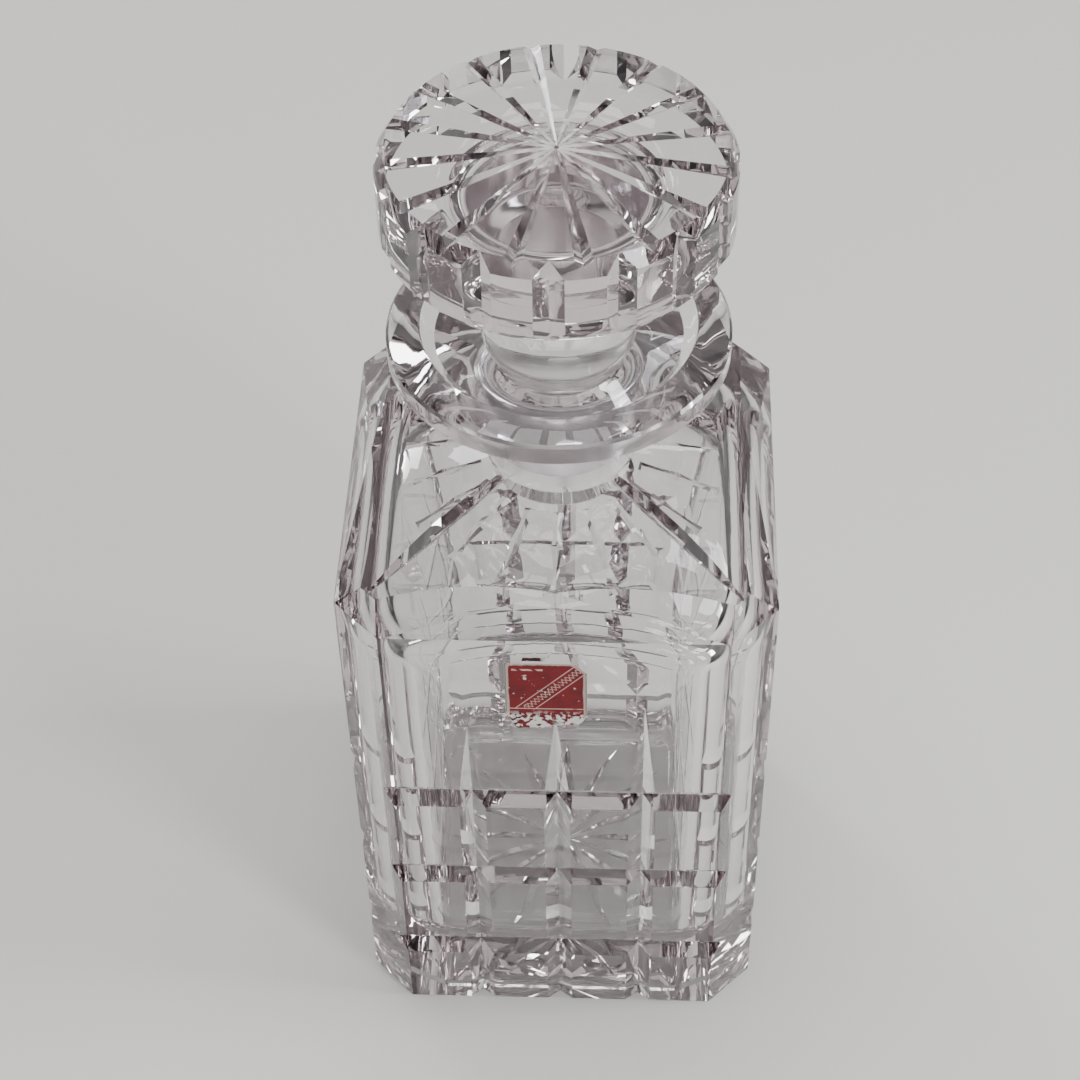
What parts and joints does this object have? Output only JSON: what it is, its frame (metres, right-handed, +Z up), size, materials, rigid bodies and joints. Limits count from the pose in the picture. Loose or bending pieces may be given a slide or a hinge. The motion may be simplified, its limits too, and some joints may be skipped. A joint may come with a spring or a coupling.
{
  "type": "square cut glass decanter",
  "caption": "Square cut crystal spirit decanter with chamfered corners, mitre cut grid, wide lip and a large round star cut stopper that lifts out.",
  "frame": {"origin": "centre of the flat base, where the bottle stands", "axes": "+Z up along the bottle's axis, -Y out of the face that carries the label"},
  "size_m": [0.094, 0.0943, 0.2292],
  "materials": {
    "crystal": "polished cut crystal, faint lilac tint",
    "stopper_crystal": "polished cut crystal, ground plug",
    "foil_label": "worn red foil on white paper"
  },
  "bodies": {
    "bottle": {"bottle": "crystal", "label": "foil_label"},
    "stopper": {"stopper": "stopper_crystal"}
  },
  "joints": [
    {"name": "stopper_lift", "type": "slide", "parent": "bottle", "child": "stopper", "axis": [0, 0, 1], "range_m": [0, 0.06]}
  ]
}
